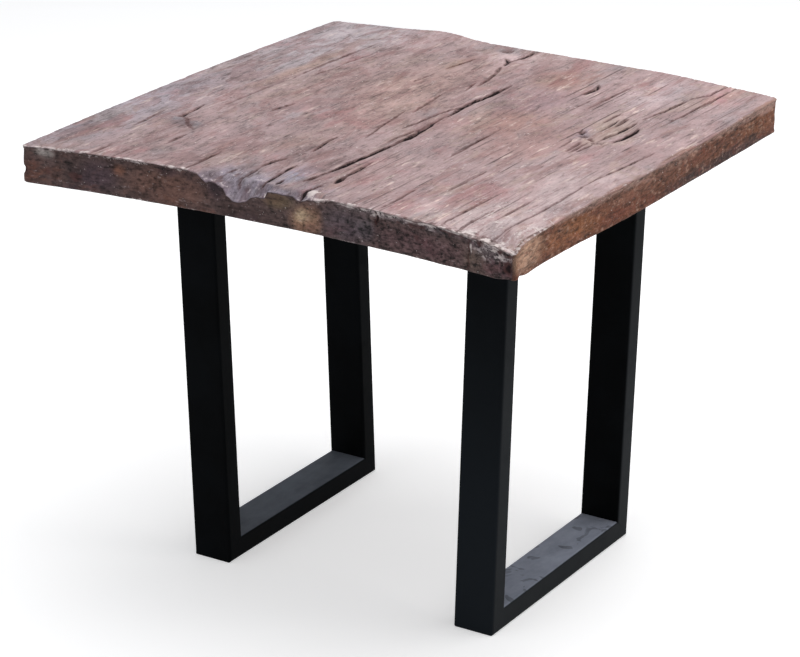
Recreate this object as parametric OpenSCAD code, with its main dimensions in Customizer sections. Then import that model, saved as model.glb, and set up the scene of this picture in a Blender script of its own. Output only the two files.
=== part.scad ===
// Small side table, used as a nightstand: one thick weathered hardwood slab on two
// black U-shaped frames of rectangular steel tube. Open below, with no drawer.
// Millimetres, +Z up, X across the grain (left to right), Y along the grain (front to back).
// The origin is on the floor under the middle of the slab.

/* [Slab] */
// Slab width across the grain, at its widest
slab_width = 621; // [420:1:900]
// Slab length along the grain, at its longest
slab_length = 636; // [420:2:1200]
// Slab thickness where it is not worn
slab_thickness = 42; // [30:1:70]
// Height of the slab's underside above the floor
underside_height = 472; // [380:1:640]
// How far the middle of the front edge is worn back from the front corners
front_hollow = 23.5; // [8:0.5:40]
// How far the hump of the back edge stands proud of the rest of that edge
back_hump = 16; // [4:0.5:30]
// How far the back edge falls away towards the right corner
back_fall = 21; // [5:0.5:40]
// How far the left edge bows outwards
left_bow = 10; // [2:0.5:20]
// How far the right edge is worn in near the front corner
right_wear = 7; // [2:0.5:15]
// Rounding of the near right corner in plan
near_corner_radius = 14; // [6:1:30]
// Rounding of the other three corners in plan
corner_radius = 7; // [3:1:15]
// Width of the worn top arris
arris_wear = 1.8; // [0.8:0.1:5]
// Width of the arris along the right edge, which is worn more
right_arris_wear = 3.4; // [1:0.2:6]
// How far the left part of the front face leans back at the top
front_lean = 7; // [1:0.5:12]

/* [Worn places] */
// Depth of the bowl where it breaks the front edge
bowl_depth = 23.5; // [10:0.5:28]
// Radius of its steep round scoop, which flares out to half as much again
scoop_radius = 25; // [18:1:40]
// Distance of the bowl's middle left of the slab's middle
bowl_offset = 36; // [0:1:120]
// Radius, as seen from above, of the shallow dish behind the bowl
dish_reach = 60; // [35:1:90]
// Depth of that dish
dish_depth = 3.5; // [1:0.5:8]
// Depth of the step broken off at the bowl's left
step_depth = 6.5; // [2:0.5:12]
// Depth of the straight-sided shelf broken off at the bowl's right
shelf_depth = 12.5; // [6:0.5:18]
// Depth of the long ledge beyond that shelf
ledge_depth = 4.5; // [1:0.5:8]
// Radius of the two nicks in the ledge
nick_radius = 8; // [5:0.5:14]
// How much the near right corner has worn down
corner_drop = 7; // [3:0.5:14]
// How far inwards that wear reaches, along the corner's diagonal
corner_reach = 62; // [40:1:140]
// Radius, as seen from above, of the sunken patch round the knot
knot_reach = 36; // [20:1:60]
// Radius of the rotted hollow beside the knot
knot_radius = 9; // [5:0.5:20]
// Depth of that hollow
knot_depth = 6; // [2:0.5:10]

/* [Checks and cracks] */
// Width of the long main crack at its widest
crack_width = 6; // [2:0.2:8]
// Depth of the long main crack
crack_depth = 12; // [4:0.5:18]
// Width of the finer drying checks
check_width = 2; // [1:0.1:4]
// Depth of the finer drying checks
check_depth = 6; // [2:0.5:10]

/* [Frames] */
// Width of the rectangular tube, across the table
tube_width = 50; // [30:1:80]
// Depth of the rectangular tube, in the plane of each frame
tube_depth = 25; // [20:1:40]
// Wall thickness of the tube
tube_wall = 2; // [1.5:0.25:4]
// Outer corner radius of the tube
tube_radius = 3; // [2.5:0.25:5]
// Length of each frame along the floor
foot_length = 312; // [220:2:480]
// Distance between the two feet, centre to centre
frame_spacing = 350; // [260:2:560]
// Outward lean of the uprights, in degrees
frame_lean = 1.8; // [0:0.1:4]
// Frames stand this far right of the slab's middle
frame_shift_x = 9; // [-30:1:30]
// Frames stand this far in front of the slab's middle
frame_shift_y = 21; // [-40:1:40]

/* [Mounting plates] */
// Plate length, across the table
plate_length = 110; // [90:1:150]
// Plate width, front to back
plate_width = 60; // [46:1:90]
// Plate thickness
plate_thickness = 5; // [3:0.5:8]
// Corner radius of the plate
plate_radius = 6; // [2:0.5:12]
// Distance of each screw hole from the plate's short edge
hole_inset_x = 12; // [8:0.5:16]
// Distance of each screw hole from the plate's long edge
hole_inset_y = 10; // [8:0.5:14]

/* [Screws] */
// Shank diameter of the wood screws
screw_diameter = 5; // [4:0.5:6]
// Screw length under the head
screw_length = 30; // [20:1:34]
// Diameter of the pan head
head_diameter = 9.6; // [8:0.2:12]
// Height of the pan head
head_height = 3.6; // [2.5:0.1:5]
// Diametral clearance of the shank in the plate
plate_clearance = 0.6; // [0.2:0.1:1.5]
// Diametral clearance of the shank in its pilot hole
pilot_clearance = 0.2; // [0.1:0.05:0.5]

/* [Hidden] */
overall_height = underside_height + slab_thickness;
plate_bottom = underside_height - plate_thickness;
lean_run = (plate_bottom - tube_depth / 2) * tan(frame_lean);
upright_y = foot_length / 2 - tube_depth / 2;
plate_x = frame_spacing / 2 + lean_run;
hole_x = plate_length / 2 - hole_inset_x;
hole_y = plate_width / 2 - hole_inset_y;
half_w = slab_width / 2;
half_l = slab_length / 2;
front_steps = 18;
right_steps = 10;
back_steps = 18;
left_steps = 8;
tiny = 0.01;

// Choose one sub-part, or all of them

// Plan outline of the slab. Each edge is a curve of its own, as cut and worn.
function front_y(x) = -half_l + front_hollow * (1 - pow((x - 20) / (half_w + 12), 2));

function back_y(x) = half_l - back_hump
    + back_hump * exp(-pow((x + half_w / 2) / 45, 2))
    - back_fall * max(0, (x - half_w / 2) / (half_w / 2))
    - back_fall / 2 * max(0, (-x - half_w * 0.75) / (half_w / 5));

function left_x(y) = -half_w + left_bow * pow((y + 80) / (half_l + 42), 2);

function right_x(y) = half_w
    - right_wear * exp(-pow((y + half_l * 0.72) / 110, 2));

function between(a, b, t) = a + (b - a) * t;

function edge_front() = let (
        a = left_x(-half_l) + corner_radius,
        b = right_x(-half_l) - near_corner_radius
    ) [for (i = [0 : front_steps]) let (x = between(a, b, i / front_steps)) [x, front_y(x)]];

function edge_right() = let (
        a = front_y(half_w) + near_corner_radius,
        b = back_y(half_w) - corner_radius
    ) [for (i = [0 : right_steps]) let (y = between(a, b, i / right_steps)) [right_x(y), y]];

function edge_back() = let (
        a = right_x(half_l) - corner_radius,
        b = left_x(half_l) + corner_radius
    ) [for (i = [0 : back_steps]) let (x = between(a, b, i / back_steps)) [x, back_y(x)]];

function edge_left() = let (
        a = back_y(-half_w) - corner_radius,
        b = front_y(-half_w) + corner_radius
    ) [for (i = [0 : left_steps]) let (y = between(a, b, i / left_steps)) [left_x(y), y]];

// One bulging middle point rounds off each corner between two edges
function corner_point(p, q, out) = [
    (p[0] + q[0]) / 2 + out * (q[1] - p[1]) * 0.25,
    (p[1] + q[1]) / 2 - out * (q[0] - p[0]) * 0.25
];

function slab_outline() = let (
        f = edge_front(),
        r = edge_right(),
        b = edge_back(),
        l = edge_left()
    ) concat(
        f, [corner_point(f[front_steps], r[0], 1)],
        r, [corner_point(r[right_steps], b[0], 1)],
        b, [corner_point(b[back_steps], l[0], 1)],
        l, [corner_point(l[left_steps], f[0], 1)]
    );

// A crack seen from above: a bowed sliver that tapers to nothing at both ends
function crack_point(p, q, w, bow, t, side) = let (
        d = [q[0] - p[0], q[1] - p[1]],
        n = [-d[1], d[0]] / norm(d),
        s = bow * sin(180 * t) + side * w / 2 * pow(sin(180 * t), 0.6)
    ) [p[0] + d[0] * t + n[0] * s, p[1] + d[1] * t + n[1] * s];

module crack(p, q, w, depth, bow) {
    steps = 8;
    up = [for (i = [0 : steps]) crack_point(p, q, w, bow, i / steps, 1)];
    down = [for (i = [1 : steps - 1]) crack_point(p, q, w, bow, 1 - i / steps, -1)];
    translate([0, 0, overall_height - depth])
        linear_extrude(depth + 1)
            polygon(concat(up, down));
}

// The long crack runs along the grain in stepped lengths with side shoots
module main_cracks() {
    crack([25, -264], [27, -208], crack_width * 0.6, check_depth, 1);
    crack([27, -220], [34, -96], crack_width, crack_depth, -1);
    crack([33, -104], [29, 0], crack_width * 0.9, crack_depth, -2);
    crack([30, 14], [30, 162], crack_width, crack_depth, 3);
    crack([10, -46], [22, 58], crack_width * 0.65, check_depth, 1);
    crack([47, -168], [54, -250], crack_width * 0.75, check_depth, 1);
    crack([-15, -212], [-11, -280], crack_width * 0.6, check_depth, -1);
    crack([-40, -190], [-46, -262], crack_width * 0.6, check_depth, 1);
    crack([-33, -106], [-27, -168], crack_width * 0.6, check_depth, 2);
    crack([113, 218], [117, 172], crack_width, check_depth, 2);
}

module drying_checks() {
    crack([-21, 90], [-11, 12], check_width * 1.2, check_depth, 1);
    crack([-23, 6], [-6, -92], check_width * 1.1, check_depth, -1);
    crack([-35, 256], [-18, 228], check_width * 2.2, check_depth, 2);
    crack([-20, 222], [-3, 134], check_width * 1.8, check_depth, 2);
    crack([-18, 298], [-20, 262], check_width * 1.6, check_depth, 1);
    crack([-62, 234], [-74, 112], check_width * 1.2, check_depth, 2);
    crack([-197, 236], [-201, 54], check_width * 1.2, check_depth, -2);
    crack([-204, 40], [-208, -84], check_width * 1.1, check_depth, -1);
    crack([-178, 186], [-188, 74], check_width * 1.2, check_depth, 1);
    crack([-143, -28], [-150, -70], check_width * 1.6, check_depth, 1);
    crack([-229, -84], [-226, -126], check_width * 1.8, check_depth, -1);
    crack([-226, -136], [-180, -172], check_width * 2, check_depth, 3);
    crack([-180, -186], [-178, -228], check_width * 1.4, check_depth, 1);
    crack([-253, -128], [-248, -192], check_width * 1.2, check_depth, 1);
    crack([-226, -258], [-227, -292], check_width * 1.2, check_depth, 1);
    crack([-199, -252], [-200, -290], check_width, check_depth, 1);
    crack([-110, -222], [-109, -284], check_width * 1.4, check_depth, 1);
    crack([224, 284], [225, 192], check_width * 1.6, check_depth, 2);
    crack([226, 186], [222, 114], check_width * 2.2, check_depth, 2);
    crack([253, 270], [248, 108], check_width * 1.2, check_depth, 1);
    crack([285, 24], [276, -96], check_width * 1.2, check_depth, 1);
    crack([276, -108], [276, -280], check_width * 1.2, check_depth, 1);
    crack([214, -186], [213, -286], check_width * 1.1, check_depth, 1);
    crack([236, -222], [235, -290], check_width * 1.2, check_depth, -1);
    crack([254, -170], [253, -262], check_width * 1.1, check_depth, 1);
    crack([166, -128], [166, -208], check_width * 1.1, check_depth, -1);
    crack([135, -214], [136, -282], check_width * 1.2, check_depth, 1);
    crack([150, 232], [148, 128], check_width * 1.1, check_depth, 1);
    crack([136, 168], [134, 112], check_width * 1.1, check_depth, -1);
    crack([103, 12], [108, -120], check_width * 1.1, check_depth, 1);
}

// A shallow round hollow, as deep as said in its middle and as wide as said at the top
module round_hollow(x, y, reach, depth) {
    cap = (reach * reach + depth * depth) / (2 * depth);
    translate([x, y, overall_height - depth + cap])
        sphere(r = cap, $fn = 96);
}

// The knot: a sunken patch with a rotted hollow and short parallel grooves
module knot_hollow() {
    round_hollow(211, 64, knot_reach, check_width);
    round_hollow(190, 42, knot_radius, knot_depth);
    round_hollow(215, 24, knot_radius * 0.9, knot_depth * 0.7);
    crack([189, 130], [188, 90], check_width * 1.5, check_depth, 1);
    crack([198, 116], [197, 60], check_width * 1.5, check_depth, -1);
    crack([206, 124], [204, 84], check_width * 1.6, check_depth, 1);
    crack([218, 114], [213, 34], check_width * 2.4, check_depth, -1);
    crack([231, 98], [230, 32], check_width * 3.6, check_depth * 1.4, -2);
    crack([202, 12], [203, -26], check_width * 1.3, check_depth, 1);
    crack([209, 12], [208, -30], check_width * 1.3, check_depth, 1);
    crack([217, 10], [214, -20], check_width * 1.3, check_depth, 1);
}

// A piece broken out of the front edge: a sloping floor and a leaning back wall.
// Its two ends are measured from the bowl's middle.
module broken_step(from, to, depth, back) {
    translate([from - bowl_offset, front_y((from + to) / 2 - bowl_offset), overall_height])
        rotate([90, 0, 90])
            linear_extrude(to - from)
                polygon([[-20, -depth - 2], [back * 0.75, -depth * 0.9], [back, 1], [-20, 1]]);
}

// A dish with a flared scoop at the edge, and what has broken away to its left and right
module front_bowl() {
    edge = front_y(-bowl_offset);
    round_hollow(-bowl_offset - 12, edge, dish_reach, dish_depth);
    round_hollow(-bowl_offset, edge - 2, scoop_radius * 1.5, bowl_depth * 0.35);
    translate([-bowl_offset, edge - 4, overall_height - bowl_depth + scoop_radius])
        sphere(r = scoop_radius, $fn = 96);
    broken_step(-50, -16, step_depth, 19);
    broken_step(12, 37, shelf_depth, 13);
    broken_step(36, 109, ledge_depth, 11);
    for (x = [75, 98])
        translate([x - bowl_offset, front_y(x - bowl_offset) - 1, overall_height - 0.5])
            sphere(r = nick_radius, $fn = 48);
}

// Two slanting planes take the near right corner down, the second steeper than the first
module corner_wear() {
    slope = atan(corner_drop / corner_reach);
    translate([half_w, front_y(half_w), overall_height - corner_drop])
        rotate([0, 0, 45])
            rotate([slope, 0, 0])
                translate([-300, -100, 0])
                    cube([600, 100 + corner_reach * 2, 60]);
    translate([half_w - 4, front_y(half_w) + 4, overall_height - corner_drop * 1.7])
        rotate([0, 0, 45])
            rotate([34, 0, 0])
                translate([-120, -60, 0])
                    cube([240, 160, 60]);
}

// The front face leans back left of the bowl, in short hewn facets
function lean_at(x) = front_lean
    * max(0, min(1, (-bowl_offset - 6 - x) / 60, (x + half_w) / 55));

module lean_cut(p, q, lean) {
    d = [q[0] - p[0], q[1] - p[1]];
    translate([p[0], p[1], underside_height])
        rotate([0, 0, atan2(d[1], d[0])])
            rotate([-atan(lean / slab_thickness), 0, 0])
                translate([-1.5, -30, -10])
                    cube([norm(d) + 3, 30, slab_thickness * 1.5]);
}

module leaning_face(edge) {
    for (i = [0 : len(edge) - 2]) {
        lean = lean_at((edge[i][0] + edge[i + 1][0]) / 2);
        if (lean > 0.2) lean_cut(edge[i], edge[i + 1], lean);
    }
}

function leaned(edge) = [for (p = edge) [p[0], p[1] + lean_at(p[0])]];

// Short hewn facets follow the top edge and change width along it
module arris_cut(p, q, w) {
    d = [q[0] - p[0], q[1] - p[1]];
    translate([p[0], p[1], overall_height])
        rotate([0, 0, atan2(d[1], d[0])])
            rotate([45, 0, 0])
                translate([-1.5, -w * 3, -w * 0.7071])
                    cube([norm(d) + 3, w * 6, w * 3]);
}

module arris(edge, phase, wear) {
    for (i = [0 : len(edge) - 2])
        arris_cut(edge[i], edge[i + 1], wear * (1 + 0.35 * sin(i * 77 + phase)));
}

module pilot_holes() {
    for (side = [-1, 1])
        for (end = [-1, 1])
            at_plate(side, end)
                at_holes()
                    translate([0, 0, plate_thickness - 1])
                        cylinder(d = screw_diameter + pilot_clearance, h = screw_length - plate_thickness + 2, $fn = 24);
}

module tabletop_slab() {
    color([0.42, 0.33, 0.31])
        difference() {
            translate([0, 0, underside_height])
                linear_extrude(slab_thickness)
                    polygon(slab_outline());
            front_bowl();
            corner_wear();
            leaning_face(edge_front());
            arris(leaned(edge_front()), 0, arris_wear);
            arris(edge_right(), 40, right_arris_wear);
            arris(edge_back(), 80, arris_wear);
            arris(edge_left(), 120, arris_wear);
            main_cracks();
            drying_checks();
            knot_hollow();
            pilot_holes();
        }
}

// Cross-section of the rectangular tube with rounded outer and inner corners
module rounded_rectangle(x, y, r) {
    square([x - 2 * r, y], center = true);
    square([x, y - 2 * r], center = true);
    for (sx = [-1, 1])
        for (sy = [-1, 1])
            translate([sx * (x / 2 - r), sy * (y / 2 - r)])
                circle(r = r, $fn = 32);
}

module tube_section() {
    inner = max(0.5, tube_radius - tube_wall);
    difference() {
        rounded_rectangle(tube_width, tube_depth, tube_radius);
        rounded_rectangle(tube_width - 2 * tube_wall, tube_depth - 2 * tube_wall, inner);
    }
}

// Everything below the 45 degree mitre plane that rises from the outer bottom edge
module below_mitre() {
    rotate([45, 0, 0])
        translate([-tube_width * 2, -200, -200])
            cube([tube_width * 4, 400, 200]);
}

module above_mitre() {
    rotate([45, 0, 0])
        translate([-tube_width * 2, -200, 0])
            cube([tube_width * 4, 400, 200]);
}

module at_frame(side) {
    translate([frame_shift_x + side * frame_spacing / 2, -frame_shift_y, 0])
        children();
}

// Foot tube, mitred at both ends to meet the uprights
module foot_tube(side) {
    at_frame(side)
        difference() {
            translate([0, foot_length / 2, tube_depth / 2])
                rotate([90, 0, 0])
                    linear_extrude(foot_length)
                        tube_section();
            translate([0, -foot_length / 2, 0])
                above_mitre();
            translate([0, foot_length / 2, 0])
                mirror([0, 1, 0])
                    above_mitre();
        }
}

// Upright leaning outwards, mitred to the foot and cut level under its plate
module upright(side, end) {
    at_frame(side)
        difference() {
            translate([0, end * upright_y, tube_depth / 2])
                rotate([0, side * frame_lean, 0])
                    translate([0, 0, -tube_depth * 2])
                        linear_extrude(plate_bottom + tube_depth * 3)
                            tube_section();
            translate([0, end * foot_length / 2, 0])
                mirror([0, end > 0 ? 1 : 0, 0])
                    below_mitre();
            translate([-tube_width * 2 + side * lean_run, end * upright_y - tube_depth, plate_bottom])
                cube([tube_width * 4, tube_depth * 2, tube_depth * 5]);
        }
}

module at_plate(side, end) {
    translate([frame_shift_x + side * plate_x, -frame_shift_y + end * upright_y, plate_bottom])
        children();
}

module at_holes() {
    for (sx = [-1, 1])
        for (sy = [-1, 1])
            translate([sx * hole_x, sy * hole_y, 0])
                children();
}

// Flat plate welded on top of an upright, with four screw holes
module mounting_plate(side, end) {
    at_plate(side, end)
        linear_extrude(plate_thickness)
            difference() {
                rounded_rectangle(plate_length, plate_width, plate_radius);
                at_holes()
                    circle(d = screw_diameter + plate_clearance, $fn = 32);
            }
}

// Pan-head wood screw, head down, shank up into the slab, with a cross recess
module wood_screw() {
    r = screw_diameter / 2;
    difference() {
        rotate_extrude($fn = 48)
            polygon([
                [0, -head_height],
                [head_diameter * 0.26, -head_height],
                [head_diameter * 0.42, -head_height * 0.72],
                [head_diameter * 0.5, -head_height * 0.3],
                [head_diameter * 0.5, 0],
                [r, 0],
                [r, screw_length - screw_diameter],
                [0, screw_length]
            ]);
        translate([-head_diameter * 0.24, -0.5, -head_height - tiny])
            cube([head_diameter * 0.48, 1, head_height * 0.55]);
        translate([-0.5, -head_diameter * 0.24, -head_height - tiny])
            cube([1, head_diameter * 0.48, head_height * 0.55]);
    }
}

module frame_screws(side) {
    color([0.62, 0.62, 0.6])
        for (end = [-1, 1])
            at_plate(side, end)
                at_holes()
                    wood_screw();
}

module left_foot_tube() {
    color([0.09, 0.1, 0.11])
        foot_tube(-1);
}

module left_front_upright() {
    color([0.1, 0.11, 0.12])
        upright(-1, -1);
}

module left_rear_upright() {
    color([0.1, 0.11, 0.12])
        upright(-1, 1);
}

module right_foot_tube() {
    color([0.09, 0.1, 0.11])
        foot_tube(1);
}

module right_front_upright() {
    color([0.1, 0.11, 0.12])
        upright(1, -1);
}

module right_rear_upright() {
    color([0.1, 0.11, 0.12])
        upright(1, 1);
}

module left_front_plate() {
    color([0.14, 0.15, 0.16])
        mounting_plate(-1, -1);
}

module left_rear_plate() {
    color([0.14, 0.15, 0.16])
        mounting_plate(-1, 1);
}

module right_front_plate() {
    color([0.14, 0.15, 0.16])
        mounting_plate(1, -1);
}

module right_rear_plate() {
    color([0.14, 0.15, 0.16])
        mounting_plate(1, 1);
}

module left_frame_screws() {
    frame_screws(-1);
}

module right_frame_screws() {
    frame_screws(1);
}

tabletop_slab();
left_foot_tube();
left_front_upright();
left_rear_upright();
right_foot_tube();
right_front_upright();
right_rear_upright();
left_front_plate();
left_rear_plate();
right_front_plate();
right_rear_plate();
left_frame_screws();
right_frame_screws();
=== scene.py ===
"""Small side table: one weathered hardwood slab on two black U-shaped steel frames."""
import math
import bpy
import numpy as np
from mathutils import Matrix, Vector


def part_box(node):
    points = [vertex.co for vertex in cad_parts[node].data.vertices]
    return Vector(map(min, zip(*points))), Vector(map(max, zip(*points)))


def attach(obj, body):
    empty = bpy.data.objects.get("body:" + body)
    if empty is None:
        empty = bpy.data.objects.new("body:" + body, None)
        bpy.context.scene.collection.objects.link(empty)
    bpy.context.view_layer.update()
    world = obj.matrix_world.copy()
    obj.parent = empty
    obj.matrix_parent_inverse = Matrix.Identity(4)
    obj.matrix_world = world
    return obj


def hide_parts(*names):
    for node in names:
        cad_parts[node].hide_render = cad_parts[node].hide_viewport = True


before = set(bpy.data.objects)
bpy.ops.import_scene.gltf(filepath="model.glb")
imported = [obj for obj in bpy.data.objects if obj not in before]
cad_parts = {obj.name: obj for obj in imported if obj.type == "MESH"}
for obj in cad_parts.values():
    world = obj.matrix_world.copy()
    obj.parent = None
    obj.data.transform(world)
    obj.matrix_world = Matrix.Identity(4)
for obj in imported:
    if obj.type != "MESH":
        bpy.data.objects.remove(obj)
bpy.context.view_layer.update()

SCENE = bpy.context.scene
MM = 0.001
BODY = "root"


def add_object(name, data):
    """A new object in the scene."""
    thing = bpy.data.objects.new(name, data)
    SCENE.collection.objects.link(thing)
    return thing


def add_mesh(name, points, faces):
    """A new object with a mesh of its own."""
    data = bpy.data.meshes.new(name)
    data.from_pydata(points, [], faces)
    return add_object(name, data)


def finished_mesh(thing):
    """The mesh that an object's modifiers make of it."""
    graph = bpy.context.evaluated_depsgraph_get()
    return bpy.data.meshes.new_from_object(thing.evaluated_get(graph))


# Colours and shader maths

def srgb(r, g, b):
    """A colour read off a swatch, 0 to 255, as the linear colour a shader wants."""
    def straighten(c):
        c = c / 255.0
        return c / 12.92 if c <= 0.04045 else ((c + 0.055) / 1.055) ** 2.4
    return (straighten(r), straighten(g), straighten(b), 1.0)


def one_maths_node(kind, swapped=False):
    """An operator on shader values, which adds one Math node."""
    def operate(value, other=0.0):
        first, second = (other, value) if swapped else (value, other)
        return value.nodes.value("ShaderNodeMath", {0: first, 1: second}, {"operation": kind})
    return operate


class Value:
    """A node's output that can stand in a plain expression."""

    def __init__(self, nodes, socket):
        self.nodes = nodes
        self.socket = socket

    __add__ = __radd__ = one_maths_node("ADD")
    __sub__ = one_maths_node("SUBTRACT")
    __rsub__ = one_maths_node("SUBTRACT", swapped=True)
    __mul__ = __rmul__ = one_maths_node("MULTIPLY")
    __truediv__ = one_maths_node("DIVIDE")
    __abs__ = one_maths_node("ABSOLUTE")
    floor = one_maths_node("FLOOR")
    sine = one_maths_node("SINE")
    least = one_maths_node("MINIMUM")
    most = one_maths_node("MAXIMUM")

    def ramp(self, low, high, out_low=0.0, out_high=1.0):
        """Rises smoothly from out_low at low to out_high at high, and stays level beyond."""
        values = {"Value": self, "From Min": low, "From Max": high, "To Min": out_low, "To Max": out_high}
        return self.nodes.value("ShaderNodeMapRange", values, {"interpolation_type": "SMOOTHSTEP"})


class Nodes:
    """A node tree, cleared and then built by plain calls."""

    def __init__(self, tree):
        self.tree = tree
        self.tree.nodes.clear()

    def add(self, kind, values=None, settings=None):
        """Adds one node, its settings first, and returns it."""
        node = self.tree.nodes.new(kind)
        for key, setting in (settings or {}).items():
            setattr(node, key, setting)
        for key, value in (values or {}).items():
            self.feed(node.inputs[key], value)
        return node

    def value(self, kind, values=None, settings=None, output=0):
        """Adds one node, and returns one of its outputs as a Value."""
        return Value(self, self.add(kind, values, settings).outputs[output])

    def feed(self, socket, value):
        """Feeds a socket with a plain value, another socket, a Value, or a node's first output."""
        if isinstance(value, bpy.types.Node):
            value = value.outputs[0]
        if isinstance(value, Value):
            value = value.socket
        if isinstance(value, bpy.types.NodeSocket):
            self.tree.links.new(value, socket)
        else:
            socket.default_value = value


class Finish(Nodes):
    """One procedural material, with its Principled shader."""

    def __init__(self, name):
        self.material = bpy.data.materials.new(name)
        self.material.use_nodes = True
        super().__init__(self.material.node_tree)
        self.shader = self.add("ShaderNodeBsdfPrincipled")
        self.output = self.add("ShaderNodeOutputMaterial", {0: self.shader})

    def set(self, **sockets):
        for name, value in sockets.items():
            self.feed(self.shader.inputs[name.replace("_", " ")], value)

    def parts(self, vector):
        """A vector's three parts."""
        return [Value(self, out) for out in self.add("ShaderNodeSeparateXYZ", {0: vector}).outputs]

    def coordinates(self):
        """The object's own coordinates."""
        return self.value("ShaderNodeTexCoord", output=3)

    def place(self, scale=(1, 1, 1), offset=(0, 0, 0)):
        """Those coordinates, squeezed along some axes and moved."""
        return self.value("ShaderNodeMapping", {0: self.coordinates(), 1: offset, 3: scale})

    def noise(self, at, scale, detail, rough, warp=0.0):
        return self.value("ShaderNodeTexNoise", {
            "Vector": at, "Scale": scale, "Detail": detail, "Roughness": rough, "Distortion": warp})

    def grain(self, at, scale, detail, rough, warp=0.0):
        """Noise spread about zero, mostly between -1 and 1."""
        return (self.noise(at, scale, detail, rough, warp) - 0.5) * 4.0

    def attribute(self, name, output=2):
        """A piece's own number at each point of its mesh, or from output 0 its own colour."""
        return self.value("ShaderNodeAttribute", settings={"attribute_name": name}, output=output)

    def mix(self, kind, amount, first, second, how="MIX"):
        """The first at amount 0 and the second at amount 1: kind is VECTOR or RGBA."""
        node = self.add("ShaderNodeMix", settings={"data_type": kind, "blend_type": how})
        for socket, value in zip([s for s in node.inputs if s.enabled], (amount, first, second)):
            self.feed(socket, value)
        return Value(self, [s for s in node.outputs if s.enabled][0])

    def layered(self, colour, layers):
        """The colour with every layer laid over it in turn, each a cover and a tone."""
        for cover, tone in layers:
            colour = self.mix("RGBA", cover, colour, tone)
        return colour

    def relief(self, height, distance, strength):
        return self.value("ShaderNodeBump", {"Height": height, "Distance": distance, "Strength": strength})


# The slab's shape, in millimetres, with the same plan as the solid

SLAB_LOW, SLAB_HIGH = (Vector(c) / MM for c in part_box("tabletop_slab"))
UNDERSIDE = SLAB_LOW.z
TOP = SLAB_HIGH.z
THICK = TOP - UNDERSIDE
HALF_W = 310.5
HALF_L = 318.0
# The gap under the solid's top, the wood that every cut leaves, and the underside's soft border
TOP_GAP = 0.02
LEAST_LEFT = 10
UNDER_INSET = 2.5
# The plan's rounded corners: which side in x, which side in y, radius
PLAN_CORNERS = ((1, -1, 13), (-1, -1, 7), (1, 1, 7), (-1, 1, 7))


def speckle(ix, iy, seed):
    """A fixed random number from 0 to 1 for every whole-numbered place."""
    mask = 0xFFFFFFFF
    h = (ix.astype(np.int64) * 374761393 + iy.astype(np.int64) * 668265263 + seed * 974634777) & mask
    h = ((h ^ (h >> 13)) * 1274126177) & mask
    return ((h ^ (h >> 16)) & 0xFFFF) / 65535.0


def rise(t, reach=1.0):
    """A smooth step from 0 at t = 0 to 1 at t = reach."""
    t = np.clip(t / reach, 0.0, 1.0)
    return t * t * (3 - 2 * t)


def bell(x, middle, width):
    """1 at the middle, falling away smoothly on both sides."""
    return np.exp(-((x - middle) / width) ** 2)


def rough(x, y, size_x, size_y, seed, octaves=1):
    """Smooth noise from -1 to 1 whose lumps are size_x by size_y."""
    total, weight, share = 0.0, 0.0, 1.0
    for octave in range(octaves):
        u = x / size_x * 2 ** octave + 57.3
        v = y / size_y * 2 ** octave + 31.7
        iu, iv = np.floor(u), np.floor(v)
        fu, fv = rise(u - iu), rise(v - iv)
        s = seed + octave * 101
        near = speckle(iu, iv, s) * (1 - fu) + speckle(iu + 1, iv, s) * fu
        far = speckle(iu, iv + 1, s) * (1 - fu) + speckle(iu + 1, iv + 1, s) * fu
        total = total + share * (near * (1 - fv) + far * fv)
        weight += share
        share *= 0.5
    return total / weight * 2 - 1


def through(x, points):
    """The value at x of a line drawn through points, each (x, value)."""
    xs, values = zip(*points)
    return np.interp(x, xs, values)


def front_y(x):
    """The bowed front edge of the plan."""
    return -HALF_L + 23.5 * (1 - ((x - 20) / (HALF_W + 12)) ** 2)


def back_y(x):
    """The back edge, with its hump at the left, and both its ends falling away."""
    return (HALF_L - 16 + 16 * bell(x, -HALF_W / 2, 45)
            - 21 * np.maximum(0, (x - HALF_W / 2) / (HALF_W / 2))
            - 10.5 * np.maximum(0, (-x - HALF_W * 0.75) / (HALF_W / 5)))


def left_x(y):
    """The left edge, hollow in the middle."""
    return -HALF_W + 10 * ((y + 80) / (HALF_L + 42)) ** 2


def right_x(y):
    """The right edge, waisted towards the front."""
    return HALF_W - 7 * bell(y, -HALF_L * 0.72, 110)


# What the front edge has lost in height, from left to right: the broken steps into the bowl,
# the bowl, its shelf, the nick and the slope down to the near right corner
FRONT_LOSS = (
    (-311, 0.4), (-112, 0.4), (-92, 1.5), (-84, 6), (-80, 8), (-77, 6), (-68, 6.5), (-58, 11),
    (-54, 18), (-46, 22), (-36, 23), (-27, 21), (-21, 16), (-14, 12.5), (-3, 11.5), (1, 4),
    (33, 3.5), (38, 6.5), (45, 6.5), (50, 4), (62, 3.6), (68, 2), (78, 0.1), (135, 0),
    (185, 0.3), (225, 1.8), (250, 3.2), (270, 5), (285, 7), (297, 9.5), (304, 11.2), (311, 13))
# How far back from the front edge that loss reaches
FRONT_REACH = (
    (-311, 4), (-112, 6), (-100, 10), (-84, 16), (-57, 24), (-24, 18), (9, 12), (40, 12),
    (62, 12), (84, 12), (120, 14), (180, 22), (240, 34), (280, 44), (300, 42), (311, 26))
# How far the front face's top edge leans back behind its foot
FRONT_LEAN = (
    (-311, 0), (-290, 4), (-255, 9), (-110, 10), (-60, 5), (0, 1.5), (60, 0.5), (311, 0))
# The shallow dish behind the bowl: its middle, half its width, how far back and how deep it goes
DISH_X, DISH_W, DISH_BACK, DISH_DEPTH = -48, 44, 62, 3.0
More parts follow.
